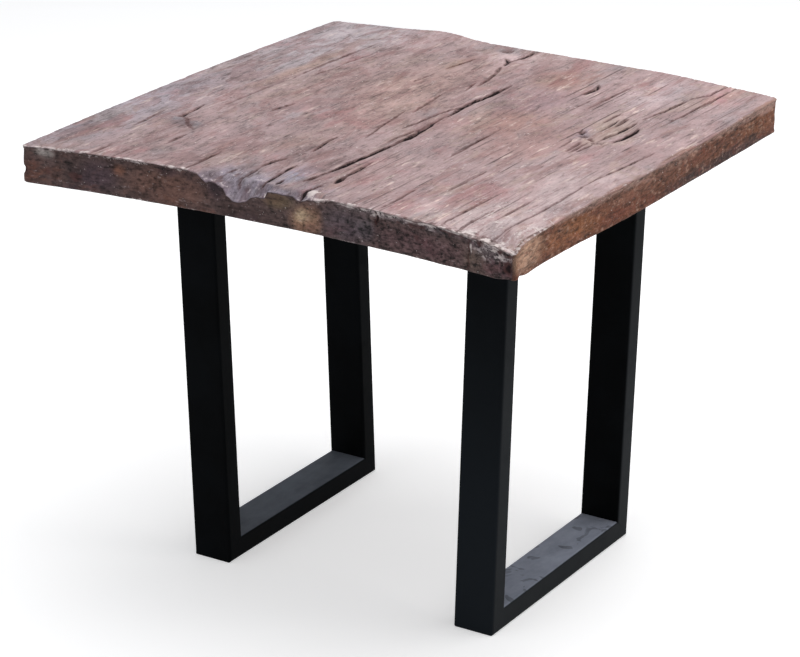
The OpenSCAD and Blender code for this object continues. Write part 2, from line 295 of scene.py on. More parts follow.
# What the worn right edge has lost, from front to back
RIGHT_LOSS = (
    (-318, 10), (-308, 6.5), (-290, 4.6), (-240, 4), (-200, 3.0), (-150, 2.2), (-100, 1.8),
    (0, 1.8), (60, 2.4), (100, 2.0), (170, 1.2), (285, 0.4))

# Each crack of the top: its width and depth, then points along it. They follow the grain.
CRACKS = (
    (2.8, 4, (21, -260), (25, -242), (28, -214)),
    (6, 12, (28, -220), (29, -180), (32, -145), (34, -108), (34, -92)),
    (5.6, 12, (33, -100), (34, -62), (32, -30), (29, -4)),
    (2.6, 4, (30, -12), (28, 8), (29, 26)),
    (5.8, 12, (30, 16), (27, 46), (25, 74), (28, 112), (30, 162)),
    (2.4, 3, (24, -114), (23, -77), (28, -38), (27, -8)),
    (2.8, 4, (11, -46), (13, -25), (15, 8), (18, 32), (23, 58)),
    (5.2, 9, (53, -246), (51, -222)),
    (2.8, 5, (52, -238), (49, -200), (48, -163)),
    (4, 6, (-15, -214), (-14, -250), (-13, -282)),
    (4, 4, (-38, -200), (-42, -216), (-45, -238)),
    (3.6, 2, (-44, -238), (-43, -250), (-47, -270), (-46, -280)),
    (3, 2.5, (-63, -255), (-70, -268)),
    (4.6, 6, (0, -262), (2, -279)),
    (3.4, 7, (-33, -108), (-33, -130), (-27, -167)),
    (2.4, 4, (-21, 88), (-17, 55), (-11, 12)),
    (2.2, 3.5, (-23, 14), (-17, -22), (-12, -60), (-5, -98)),
    (4, 3.5, (-35, 258), (-23, 246), (-18, 226)),
    (3.2, 3, (-20, 222), (-14, 198)),
    (3, 3.5, (-14, 210), (-6, 172), (-2, 136)),
    (2.6, 3, (-12, 150), (-5, 112)),
    (3.6, 5, (-20, 300), (-15, 284), (-20, 246)),
    (2.4, 3, (-72, 158), (-75, 112)),
    (3.2, 2.5, (-62, 236), (-70, 180)),
    (2.4, 3.5, (-197, 236), (-201, 166), (-203, 112), (-201, 52)),
    (2.2, 3, (-204, 40), (-208, -84)),
    (2.4, 3.5, (-178, 186), (-183, 140), (-184, 104), (-188, 72)),
    (3.4, 5, (-143, -28), (-147, -46), (-150, -68)),
    (4, 5, (-229, -84), (-226, -108), (-226, -134)),
    (3.2, 1.4, (-228, -133), (-212, -140), (-199, -157), (-180, -172)),
    (3, 4, (-180, -188), (-178, -227)),
    (2.6, 3, (-253, -128), (-250, -162), (-248, -192)),
    (2.4, 4, (-226, -262), (-227, -300)),
    (2.2, 4, (-199, -258), (-200, -298)),
    (3, 5, (-110, -222), (-109, -288)),
    (4.6, 5, (113, 217), (119, 202), (117, 174)),
    (2.6, 4, (243, 292), (239, 248), (229, 218)),
    (3, 4.5, (229, 226), (226, 170), (220, 122)),
    (2.6, 4.5, (254, 292), (251, 200), (248, 108)),
    (2.4, 4, (286, 24), (280, -62), (276, -104)),
    (2.4, 4, (276, -100), (278, -200), (275, -312)),
    (2.2, 4, (214, -186), (213, -300)),
    (2.4, 4, (236, -232), (235, -304)),
    (2.2, 3.5, (254, -176), (253, -262)),
    (2.2, 3.5, (166, -128), (166, -206)),
    (2.4, 4, (135, -218), (136, -296)),
    (2.2, 3.5, (150, 232), (148, 128)),
    (2.2, 3.5, (136, 166), (134, 112)),
    (2.2, 3, (103, 12), (108, -120)),
    (4, 5, (45, -258), (43, -276), (41, -296)),
    (2.6, 3, (60, -297), (69, -296), (80, -293)),
)
# The knot hollow on the right has grooves of the same kind
KNOT_GROOVES = (
    (3, 3.5, (189, 128), (188, 92)),
    (3, 4, (198, 112), (197, 58)),
    (3.4, 4, (205, 118), (204, 86)),
    (3.8, 5.5, (218, 112), (216, 70), (213, 30)),
    (7, 7, (231, 94), (233, 62), (230, 32)),
    (2.6, 4, (202, 16), (203, -24)),
    (2.6, 4, (208, 16), (208, -28)),
    (2.6, 3.5, (216, 12), (213, -18)),
    (2.2, 3, (190, 14), (190, -18)),
)
# Round rotted spots, in the knot hollow and elsewhere: middle, two radii and depth
SPOTS = ((192, 38, 7, 8, 6), (184, 50, 6, 8, 4), (217, 22, 9, 6, 4), (203, 30, 9, 5, 3),
         (-226, -131, 6, 7, 4), (-47, 284, 9, 12, 3))


def along(x, y, points, sway):
    """Distance to a wandering line, and how far along it, from 0 to 1."""
    pts = np.array(points, float)
    lengths = np.hypot(*(pts[1:] - pts[:-1]).T)
    starts = np.concatenate([[0], np.cumsum(lengths)])
    best = np.full(x.shape, 1e9)
    where = np.zeros(x.shape)
    x = x + sway * rough(x * 0.2, y, 20, 26, 7, 2)
    for p, q, size, start in zip(pts[:-1], pts[1:], lengths, starts):
        d = (q - p) / size
        t = np.clip((x - p[0]) * d[0] + (y - p[1]) * d[1], 0, size)
        dist = np.hypot(x - p[0] - t * d[0], y - p[1] - t * d[1])
        nearer = dist < best
        best = np.where(nearer, dist, best)
        where = np.where(nearer, (start + t) / starts[-1], where)
    return best, where


def cut_cracks(x, y, drop, dirt_and_shade, cracks):
    """Deepens drop along each crack, and darkens it with dirt and painted shade, which pass 0.5 at the
    crack's own edge.
    """
    for width, depth, *points in cracks:
        xs, ys = np.array(points, float).T
        near = ((x > xs.min() - 12) & (x < xs.max() + 12)
                & (y > ys.min() - 12) & (y < ys.max() + 12))
        nx, ny = x[near], y[near]
        dist, where = along(nx, ny, points, min(width * 0.4, 1.4))
        taper = np.sin(np.pi * np.clip(where, 0.015, 0.985)) ** 0.5
        half = width / 2 * taper * (1 + 0.35 * rough(nx, ny, 30, 14, 21, 2))
        cut = 1 - rise((dist - half * 0.35) / (half * 0.8))
        lip = 1 - rise((dist - half) / (half * 1.2 + 1.0))
        drop[near] += depth * taper * cut + 0.12 * width * lip
        # Each crack is painted dark inside and along its fringe: dirt, and the shade that falls into it.
        inside = np.clip(0.5 + (half * 1.2 - dist) / 2.6, 0, 1) * min(1.0, 0.54 + depth * 0.07)
        fringe = 0.3 * bell(dist, half, 0.9 * width)
        fringe = fringe * (0.6 + 0.6 * rough(nx, ny, 9, 24, 22, 2)) * taper
        dirt_and_shade[near] = np.maximum.reduce([dirt_and_shade[near], inside, fringe])


def cut_spots(x, y, drop, dirt_and_shade):
    """Sinks the round rotted spots, painted darker the deeper they are: rot and painted shade."""
    for cx, cy, rx, ry, depth in SPOTS:
        far = np.hypot((x - cx) / rx, (y - cy) / ry) * (1 + 0.25 * rough(x, y, 6, 8, 33))
        hole = 1 - rise(far - 0.25, 0.85)
        drop += depth * hole
        dirt_and_shade[:] = np.maximum(dirt_and_shade, min(0.9, 0.3 + 0.1 * depth) * hole)


def top_relief(x, y):
    """How far the top lies below its highest level, and how dark each place is: dirt and painted shade in
    its pits, cracks and spots.
    """
    weathered = rise(x - 20, 140) * 0.7 + 0.3
    drop = 0.1 + 0.35 * (1 + rough(x, y, 120, 240, 1, 2)) + 0.2 * (1 + rough(x, y, 22, 90, 2, 2))
    ridge = 1 - np.abs(rough(x + 3 * rough(x, y, 60, 120, 4), y, 5.2, 110, 3, 2))
    drop += (0.2 + 0.5 * weathered) * ridge ** 3
    pits = rise(rough(x, y, 4.5, 15, 5, 2) * 2.2 - 0.7)
    drop += 0.5 * pits
    drop *= 1 - 0.5 * rise(1 - (y - front_y(x)) / 30)
    dirt_and_shade = 0.2 * pits
    cut_cracks(x, y, drop, dirt_and_shade, CRACKS)
    kx, ky = (x - 211) / 30, (y - 68) / 52
    patch = 1 - rise(np.hypot(kx, ky) - 0.55, 0.5)
    drop += patch * (1.2 + 1.4 * np.abs(rough(x, y, 5, 60, 32)))
    cut_cracks(x, y, drop, dirt_and_shade, KNOT_GROOVES)
    cut_spots(x, y, drop, dirt_and_shade)
    return drop, dirt_and_shade


def edge_wear(x, y, to_front, to_right, to_back, to_left):
    """What is lost around the edge: the bowl, slopes, and the small rounding with its chips."""
    wob = 1 + 0.16 * rough(x, y, 20, 26, 41, 2)
    dish = (DISH_DEPTH * np.exp(-((x - DISH_X) / DISH_W) ** 4)
            * (1 - rise(to_front / (DISH_BACK * wob) - 0.1)))
    steep = 1 - rise(to_front / (through(x, FRONT_REACH) * wob))
    front = np.maximum(through(x + 1.2 * rough(x, y, 9, 9, 42), FRONT_LOSS) - dish, 0) * steep + dish
    reach = 11 + 3 * rough(x, y, 30, 60, 43) + through(y, RIGHT_LOSS)
    side = through(y, RIGHT_LOSS) * (1 - np.clip(to_right / reach, 0, 1)) ** 1.7
    lost = (front ** 3 + side ** 3) ** (1 / 3)

    nearest = np.minimum.reduce([to_front, to_right, to_back, to_left])
    chip = rise(rough(x, y, 17, 17, 51, 2) * 2.4 - 0.6)
    ragged = rise(rough(x, y, 5, 5, 52, 2) * 2.0 - 0.2)
    arris = 0.5 + 0.2 * rough(x, y, 60, 60, 53) + 1.6 * chip + 0.5 * ragged
    t = np.clip(1 - nearest / arris, 0, 1)
    lost += arris * 0.8 * (1 - np.sqrt(np.maximum(0, 1 - t * t)))
    crag = rise(x - 215, 40) * rise(15 - to_front, 8)
    lost += 2.2 * crag * np.abs(rough(x, y, 9, 7, 54, 3))
    return lost, front


def graded(zones):
    """Places from the first zone's start to the last one's, at each zone's own spacing."""
    places = []
    for (start, step), (end, _) in zip(zones[:-1], zones[1:]):
        count = max(1, round((end - start) / step))
        places.append(np.linspace(start, end, count, endpoint=False))
    return np.concatenate(places + [[zones[-1][0]]])


# The top's grid, each zone with its start and spacing, and the rings down the sides, as shares
COLUMNS = ((-HALF_W, 1.4), (-303, 2.2), (-112, 1.3), (62, 1.65), (297, 1.15), (HALF_W, 0))
ROWS = ((-HALF_L, 1.4), (-272, 3.4), (HALF_L - 9, 1.5), (HALF_L, 0))
LEVELS = (0.03, 0.08, 0.15, 0.23, 0.32, 0.41, 0.5, 0.59, 0.68, 0.77, 0.85, 0.92, 0.97, 1.0)


def slab_plan():
    """The grid of the top as seen from above, and each point's distance to the four edges."""
    across, length = graded(COLUMNS) / HALF_W, graded(ROWS) / HALF_L
    u, v = np.meshgrid(across, length, indexing="ij")
    xl, xr = left_x(v * HALF_L), right_x(v * HALF_L)
    x = xl + (xr - xl) * (u + 1) / 2
    yf, yb = front_y(x) + through(x, FRONT_LEAN), back_y(x)
    y = yf + (yb - yf) * (v + 1) / 2
    to_right, to_left, to_front, to_back = xr - x, x - xl, y - yf, yb - y
    for sx, sy, radius in PLAN_CORNERS:
        ex = to_right if sx > 0 else to_left
        ey = to_back if sy > 0 else to_front
        inside = (ex < radius) & (ey < radius)
        cx, cy = radius - ex, radius - ey
        shrink = np.maximum(cx, cy) / np.maximum(np.hypot(cx, cy), 1e-6)
        x = np.where(inside, x + sx * cx * (shrink - 1), x)
        y = np.where(inside, y + sy * cy * (shrink - 1), y)
    x = np.clip(x, SLAB_LOW.x, SLAB_HIGH.x)
    y = np.clip(y, SLAB_LOW.y, SLAB_HIGH.y)
    return x, y, to_front, to_right, to_back, to_left


def wall_wear(x, y, z, arc, end_grain):
    """How far the sides are worn in, and how dark each place is: dirt and painted shade where they are worn
    deeper, split or hollowed, and under the lip.
    """
    torn = (0.8 * (1 + rough(arc, z, 36, 15, 61, 2)) + 0.6 * (1 + rough(arc, z, 11, 6, 62, 2))
            + 0.5 * rise(rough(arc, z, 24, 5, 65, 2) * 3 - 0.4))
    hewn = (0.8 * (1 + rough(arc, z, 120, 13, 63, 2)) + 0.45 * (1 + rough(arc, z, 34, 3.4, 64, 2))
            + 0.2 * (1 + rough(arc, z, 12, 1.5, 66)))
    push = torn * end_grain + hewn * (1 - end_grain)
    # Darker the deeper a place is worn in: dirt and painted shade.
    dirt_and_shade = (0.22 + 0.28 * end_grain) * rise(push * 0.9 - 1.6)
    front = y < 0
    split = bell(x - 136, 1.2 * np.sin(z * 0.6), 1.5) * rise(z - 496, 5) * front
    low_split = bell(x - 250, 0.8 * np.sin(z * 0.5), 1.3) * rise(z - 473, 3) * front
    slip = 3 * rough(x, z, 7, 6, 69, 2)
    cavity = (1 - rise(np.hypot((x - 298 + slip) / 6, (z - 485) / 9) - 0.2)) * rise(x - 280, 8)
    bite = (1 - rise(np.abs(z - 487) / 6 - 0.1)) * (x < -300) * (y < -280)
    push = push + 2.4 * split + 1.2 * low_split + 3.4 * cavity * front + 2.6 * bite
    # A dark slot under the broken lip at the right of the front, painted as shade.
    under_lip = 0.5 * rise(x - 190, 30) * rise(rough(x, z, 11, 3, 68) * 2) * front
    under_lip = under_lip * bell(TOP - z - 5, through(x, FRONT_LOSS), 1.8)
    dirt_and_shade = np.maximum.reduce([dirt_and_shade, 0.95 * split, 0.5 * low_split, 0.8 * cavity * front, 0.6 * bite,
                              under_lip])
    return push, dirt_and_shade


# Stains of the slab, with a painted reflection in some patches of the top: middle and size of each patch,
# its colour and how strong it is
TOP_BASE = (160, 137, 137)
TOP_STAINS_AND_REFLECTION = (
    # The first two, the grey patches at the top's left and back, are grey weathering with a painted
    # reflection of the pale sky in the top's gloss.
    (-250, 190, 110, 170, (171, 161, 165), 0.85), (-295, -140, 60, 200, (160, 150, 157), 0.9),
    (-150, 90, 60, 170, (152, 127, 124), 0.7), (-55, 60, 60, 180, (170, 140, 131), 0.6),
    (88, 108, 36, 72, (148, 121, 124), 0.8), (72, 214, 44, 46, (152, 121, 112), 0.8),
    (104, 40, 40, 52, (164, 128, 117), 0.7), (272, -150, 56, 120, (180, 161, 161), 0.7),
    (236, -262, 80, 46, (194, 176, 175), 0.6), (0, 276, 110, 34, (172, 152, 150), 0.6),
    (-130, -180, 42, 62, (154, 131, 132), 0.6), (150, -30, 54, 66, (160, 130, 125), 0.6),
    (-118, -200, 10, 34, (158, 112, 104), 0.4), (-212, 110, 12, 110, (160, 128, 112), 0.6),
    (-206, -154, 26, 10, (118, 120, 128), 0.7), (-48, 284, 12, 14, (112, 106, 108), 0.8),
    (207, 74, 25, 50, (152, 136, 124), 0.65), (0, -248, 13, 42, (146, 144, 158), 0.8),
    (182, 44, 6, 18, (150, 150, 168), 0.4), (42, -276, 26, 22, (150, 142, 150), 0.7),
    (-69, 206, 8, 30, (140, 112, 98), 0.6), (-100, -60, 50, 80, (160, 138, 140), 0.5),
    (60, -190, 22, 60, (166, 138, 136), 0.5), (262, 10, 42, 60, (150, 127, 127), 0.55),
    (100, 16, 110, 60, (150, 117, 113), 0.45), (188, 215, 30, 66, (192, 175, 178), 0.6),
    (-36, 264, 26, 30, (184, 162, 164), 0.5))
BOWL_STAIN = (138, 130, 142)
BROKEN_STAIN = (104, 84, 88)
ARRIS_STAIN = (136, 103, 88)
END_BASE = (82, 66, 64)
END_STAINS = (
    (-278, 507, 10, 4, (156, 148, 144), 0.9), (-300, 490, 14, 16, (82, 60, 58), 0.6),
    (-130, 492, 56, 18, (108, 79, 70), 0.8), (-215, 490, 26, 16, (72, 58, 66), 0.7),
    (-190, 499, 10, 5, (132, 88, 68), 0.6), (-70, 497, 14, 12, (70, 54, 60), 0.7),
    (-30, 480, 44, 9, (60, 46, 45), 0.7), (15, 500, 20, 8, (108, 92, 70), 0.7),
    (-70, 499, 11, 9, (50, 40, 42), 0.9), (8, 502, 17, 7, (100, 78, 66), 0.6),
    (49, 485, 16, 17, (142, 108, 88), 0.9), (46, 490, 9, 8, (176, 154, 128), 0.8),
    (96, 490, 34, 20, (82, 72, 77), 0.8), (120, 490, 12, 12, (108, 100, 104), 0.6),
    (190, 487, 62, 16, (82, 62, 64), 0.8), (276, 500, 22, 12, (106, 96, 96), 0.8),
    (262, 486, 14, 12, (92, 78, 70), 0.8), (290, 477, 18, 8, (84, 66, 66), 0.8),
    (150, 511, 60, 5, (112, 102, 104), 0.7), (215, 509, 50, 5, (100, 90, 94), 0.7))
SIDE_BASE = (105, 65, 48)
SIDE_STAINS = (
    (-284, 494, 38, 17, (204, 166, 140), 0.9), (-190, 490, 66, 14, (150, 98, 66), 0.8),
    (-60, 500, 80, 10, (132, 92, 76), 0.7), (-100, 482, 40, 8, (116, 60, 44), 0.6),
    (40, 504, 60, 6, (132, 98, 86), 0.7), (62, 480, 24, 5, (68, 50, 42), 0.8),
    (150, 478, 46, 5, (62, 49, 43), 0.85), (230, 492, 56, 16, (120, 77, 54), 0.7),
    (-242, 492, 7, 9, (104, 78, 62), 0.7))
SEAM_STAIN = (164, 134, 124)
FOOT_STAIN = (66, 48, 48)
LEFT_BASE = (98, 77, 68)
UNDER_BASE = (104, 82, 72)


def linear(shade):
    """A swatch colour's three channels, as the shader wants them."""
    return np.array(srgb(*shade)[:3])


def lay(colour, cover, shade):
    """The colours with a shade laid over them, as much as cover says."""
    return colour + cover[..., None] * (linear(shade) - colour)


def stained(u, v, base, stains, seed, sway):
    """The base colour with its stains laid over it. Their edges wander, by sway along v."""
    u = u + 9 * rough(u, v, 26, 34, seed, 2)
    v = v + sway * rough(u, v, 24, 30, seed + 5, 2)
    colour = np.empty(u.shape + (3,))
    colour[:] = linear(base)
    for cu, cv, ru, rv, shade, strength in stains:
        cover = strength * (1 - rise(np.hypot((u - cu) / ru, (v - cv) / rv) * 0.9 - 0.25))
        colour = lay(colour, cover, shade)
    return colour


def top_looks(x, y, to_front, to_right, bowl, lumps):
    """The top's colour, how dark its broken places are, and how chalky each place is, with a painted
    highlight along the front arris.
    """
    colour = stained(x, y, TOP_BASE, TOP_STAINS_AND_REFLECTION, 71, 9)
    colour = lay(colour, 0.85 * bowl, BOWL_STAIN)
    colour = lay(colour, 0.5 * bowl * rise(rough(x, y, 11, 16, 72, 3) * 2.5), BROKEN_STAIN)
    brown = rise(5 + 7 * rough(x, y, 4, 38, 73, 2) - to_right, 6) * rise(y + 318, 20)
    colour = lay(colour, 0.75 * brown, ARRIS_STAIN)

    fine = rough(x, y, 3.2, 2.8, 86, 2)
    crust = rise(8 + 9 * rough(x, y, 10, 10, 76, 2) - to_front, 4) * rise(x - 200, 36)
    crust = crust * (0.5 + 0.7 * rise(fine * 4))
    # A thin pale line along the front edge: pale crumbs of worn wood, and a painted highlight where the
    # arris catches the light.
    crumbs_and_highlight = rise(4.6 + 2 * rough(x, y, 12, 12, 85) - to_front, 2.2) * (1 - bowl)
    crumbs_and_highlight = crumbs_and_highlight * (0.7 - 0.3 * rise(x - 120, 60) + 1.1 * rough(x, y, 5, 5, 77, 2))
    patchy = 0.8 + 0.9 * rough(x, y, 15, 46, 83, 2)
    chalk_and_highlight = (0.22 + 0.7 * crumbs_and_highlight + 0.1 * rise(6 - to_right, 5) + 0.8 * crust
             + 0.36 * patchy * rise(x - 150, 120) * rise(-120 - y, 120)
             + 0.7 * np.exp(-((x - 50) / 8) ** 2 - ((y + 284) / 8) ** 2)
             + 0.5 * np.exp(-((x - 246) / 9) ** 2 - ((y + 298) / 10) ** 2))

    scabs = bowl * 0.34 * rise(lumps * 3 - 0.3)
    broken = rise(rough(x, y, 6, 5, 78, 2) * 2.2) * rise(x - 80, 120) * rise(9 - to_front, 6)
    flakes = rise(-fine * 4 - 0.1) * rise(15 - to_front, 7) * rise(x - 175, 50)
    return colour, np.maximum.reduce([scabs, 0.5 * broken, 0.5 * flakes]), chalk_and_highlight


def wall_looks(x, y, z, arc, level, end_grain, in_bowl):
    """One ring of the sides: its colour, how dark it is just under the top edge, and how chalky it is, with
    a painted highlight along the arris.
    """
    ends = stained(x, z, END_BASE, END_STAINS, 74, 2)
    ends[y > 0] = linear(END_BASE)
    sides = stained(y, z, SIDE_BASE, SIDE_STAINS, 75, 2)
    seam = z + 6 * rough(y, z, 46, 5, 81, 2) + 4 * rough(y, z, 14, 3, 82, 2)
    sides = lay(sides, 0.75 * rise(seam - 503, 6), SEAM_STAIN)
    sides = lay(sides, 0.8 * rise(486 - seam, 8) * rise(y + 60, 120), FOOT_STAIN)
    sides[x < 0] = linear(LEFT_BASE)
    colour = ends * end_grain[:, None] + sides * (1 - end_grain[:, None])

    ragged = 4 * rough(x, z, 14, 9, 68, 2)
    # The pale band along the top of the front, from the middle rightwards, is pale worn wood with a painted
    # highlight along the arris.
    lip_band_and_highlight = rise(z + ragged - 504, 6) * rise(x - 70, 60)
    lip_band_and_highlight = 0.42 * lip_band_and_highlight * (1 + rough(x, z, 6, 4, 84, 2))
    lump = rise(x + ragged - 252, 6) * rise(z + ragged - 484, 12)
    lump = lump * (0.26 + 0.4 * rise(rough(x, z, 5, 4, 87, 3) * 3 + 0.2))
    chip_line = bell(x, 252.5, 1.6) * rise(z - 490, 3) * rise(504 - z, 3)
    foot_line = 0.5 * rise(475 - z, 2) * rise(rough(x, z * 0, 22, 1, 70, 2) * 2)
    # The torn top of the end grain is pale worn wood with a painted highlight on its arris.
    torn_arris_and_highlight = 0.7 * rise(0.1 - level, 0.07) * (1 - in_bowl) * end_grain
    chalk_and_highlight = ((y < 0) * end_grain * (0.1 + lip_band_and_highlight + lump + 0.9 * chip_line + foot_line)
             + torn_arris_and_highlight * rise(rough(arc, z, 7, 9, 79, 2) + 0.5))
    # Darker just under the top edge of the end grain, towards the right.
    darkened = (0.55 * rise(0.26 - level, 0.12) * end_grain * (x > 90)
              * rise(rough(arc, z, 8, 7, 80, 2) * 3))
    return colour, darkened, chalk_and_highlight


def slab_rim(nu, nv):
    """The grid's outermost places, once round from the near left corner."""
    i, j = np.arange(nu - 1), np.arange(nv - 1)
    ri = np.concatenate([i, 0 * j + nu - 1, nu - 1 - i, 0 * j])
    rj = np.concatenate([0 * i, j, 0 * i + nv - 1, nv - 1 - j])
    return ri, rj


def slab_faces(nu, nv, ri, rj, rings):
    """The faces of the top and of the sides, all four-sided, and the underside as the last one."""
    count = len(ri)
    rows = [ri * nv + rj] + [nu * nv + k * count + np.arange(count) for k in range(rings)]
    i, j = np.meshgrid(np.arange(nu - 1), np.arange(nv - 1), indexing="ij")
    first = (i * nv + j).ravel()
    faces = [np.stack([first, first + nv, first + nv + 1, first + 1], -1)]
    for upper, lower in zip(rows[:-1], rows[1:]):
        faces.append(np.stack([upper, lower, np.roll(lower, -1), np.roll(upper, -1)], -1))
    return np.concatenate(faces).tolist() + [rows[-1][::-1].tolist()]


def carve_slab():
    """The slab as one closed mesh: a grid for the top, rings down the sides and the underside."""
    x, y, to_front, to_right, to_back, to_left = slab_plan()
    drop, dirt_and_shade = top_relief(x, y)
    lost, scooped = edge_wear(x, y, to_front, to_right, to_back, to_left)
    bowl = rise(scooped / 2.6) * rise(64 - x, 20) * rise(x + 112, 14)
    lumps = rough(x, y, 13, 15, 44, 3)
    drop = np.minimum(drop + lost + bowl * (1 + 1.6 * lumps), THICK - LEAST_LEFT)
    z = TOP - TOP_GAP - np.maximum(drop, 0)
    colour, darkened, chalk_and_highlight = top_looks(x, y, to_front, to_right, bowl, lumps)

    nu, nv = x.shape
    ri, rj = slab_rim(nu, nv)
    count = len(ri)
    px, py, pz = x[ri, rj], y[ri, rj], z[ri, rj]
    tx, ty = np.roll(px, -1) - np.roll(px, 1), np.roll(py, -1) - np.roll(py, 1)
    size = np.hypot(tx, ty)
    nx, ny = ty / size, -tx / size
    arc = np.cumsum(np.hypot(px - np.roll(px, 1), py - np.roll(py, 1)))
    end_grain = rise(np.abs(ny) * 1.8 - 0.5)
    corner = rise(px - 282, 20) * rise(-256 - py, 30)
    under_chip = 7 * bell(py, -293, 6) * rise(px - 290, 10)
    lean = through(px, FRONT_LEAN) * (py < 0) * end_grain

    parts = [(np.stack([x, y, z], -1).reshape(-1, 3), colour.reshape(-1, 3),
              np.maximum(dirt_and_shade, darkened).ravel(), chalk_and_highlight.ravel())]
    for level in LEVELS:
        h = pz + (UNDERSIDE - pz) * level
        push, dark = wall_wear(px, py, h, arc, end_grain)
        push = push * rise(level * 5 + 0.25) * (1 - rise(level - 0.8, 0.2) * 0.5)
        worn = 2.2 + 0.9 * rough(arc, h * 0, 23, 1, 67, 2) + 10 * corner * end_grain + under_chip
        t = np.clip(1 - (h - UNDERSIDE) / worn, 0, 1)
        push = push + worn * 0.8 * (1 - np.sqrt(1 - t * t)) - lean * rise(level * 1.3)
        colour, darkened, chalk_and_highlight = wall_looks(px, py, h, arc, level, end_grain, bowl[ri, rj])
        ring = np.stack([px - nx * push, py - ny * push, h], -1)
        parts.append((ring, colour, np.maximum(dark, darkened), chalk_and_highlight))

    push = push + UNDER_INSET
    none = np.zeros(count)
    ring = np.stack([px - nx * push, py - ny * push, none + UNDERSIDE], -1)
    parts.append((ring, np.tile(linear(UNDER_BASE), (count, 1)), none, none))
    points, shades, grime_and_shade, chalk_and_highlight = (np.concatenate(part) for part in zip(*parts))

    rings = len(LEVELS) + 1
    faces = slab_faces(nu, nv, ri, rj, rings)
    slab = add_mesh("weathered_slab", (points * MM).tolist(), faces)
    slab.data.polygons.foreach_set("use_smooth", [True] * (len(faces) - 1) + [False])

    def store(name, values, kind="FLOAT", key="value"):
        layer = slab.data.attributes.new(name, kind, "POINT")
        layer.data.foreach_set(key, np.asarray(values, np.float32).ravel())

    top, below = nu * nv, np.zeros(count * rings)
    store("stain", np.hstack([shades, np.ones((len(shades), 1))]), "FLOAT_COLOR", "color")
    # Dirt and painted shade in the cracks, spots and hollows.
    store("grime_and_shade", np.clip(grime_and_shade, 0, 1))
    store("chalk_and_highlight", np.clip(chalk_and_highlight, 0, 1))
    store("polish", np.concatenate([bowl.ravel(), below]))
    store("end_grain", np.concatenate([np.zeros(top), np.tile(end_grain, len(LEVELS)), none]))
    store("face_up", np.concatenate([np.ones(top), below]))
    return slab


# Finishes

# Tones laid over the stains: all over the top, in the bowl, on the sides and end grain, then the grooves,
# worn places and chips, which also paint a pale highlight along the front arris, and the cracks, painted
# dark with dirt and painted shade
RED_WOOD = srgb(144, 93, 94)
BLUE_GREY = srgb(142, 140, 144)
PEELED = srgb(132, 99, 98)
BEIGE = srgb(160, 141, 127)
VEIN = srgb(122, 84, 80)
FLECK = srgb(208, 187, 178)
TOP_SHADE = srgb(92, 66, 70)
BOWL_SHADE = srgb(92, 78, 92)
BROWN_WALL = srgb(108, 66, 50)
PLUM_END = srgb(78, 50, 54)
BLUE_END = srgb(62, 50, 58)
RUST_SIDE = srgb(104, 56, 42)
PALE_SIDE = srgb(178, 148, 130)
GROOVE = srgb(70, 45, 42)
HAIRLINE = srgb(52, 36, 36)
WORN_AND_HIGHLIGHT = srgb(203, 187, 187)
CHIP_AND_HIGHLIGHT = srgb(214, 202, 198)
SPECK = srgb(222, 210, 206)
CRACK_EDGE = srgb(84, 54, 52)
CRACK_DARK = srgb(26, 17, 18)
# The powder coat's own tones, a painted sheen on the faces that catch light, and the dust on the feet with a
# painted sheen on it, darker on the left as painted shade
COAT_DARK, COAT_PALE = srgb(8, 9, 10), srgb(13, 15, 17)
PAINTED_FRONT_SHEEN, PAINTED_SIDE_SHEEN = srgb(30, 34, 38), srgb(38, 40, 42)
LEFT_DUST_AND_SHEEN, RIGHT_DUST_AND_SHEEN = srgb(104, 110, 119), srgb(152, 158, 172)
ZINC_DARK, ZINC_PALE = srgb(176, 178, 176), srgb(206, 206, 200)
# How deep the fine relief of each finish goes, in metres
WOOD_RELIEF, COAT_RELIEF = 0.0012, 0.0002


def drying_checks(f, xyz, spacing, width, seed):
    """Straight dark hairlines along the grain, each with its own place, ends and strength."""
    sway = f.noise(f.place((2.0, 3.5, 0)), 2.2, 2, 0.5)
    across = xyz[0] / spacing + sway * (0.006 / spacing)
    lane = across.floor()
    luck = f.value("ShaderNodeTexWhiteNoise", {"W": lane + seed}, {"noise_dimensions": "1D"})
    off = abs(across - lane - 0.3 - luck * 0.4)
    along_lane = f.value("ShaderNodeCombineXYZ", {0: lane * 3.7, 1: xyz[1] * 8.0, 2: seed})
    there = f.noise(along_lane, 1.0, 2, 0.5).ramp(0.5, 0.6)
    return off.ramp(width * 0.25 / spacing, width * 0.7 / spacing, 1.0, 0.0) * there * (0.4 + luck * 0.6)


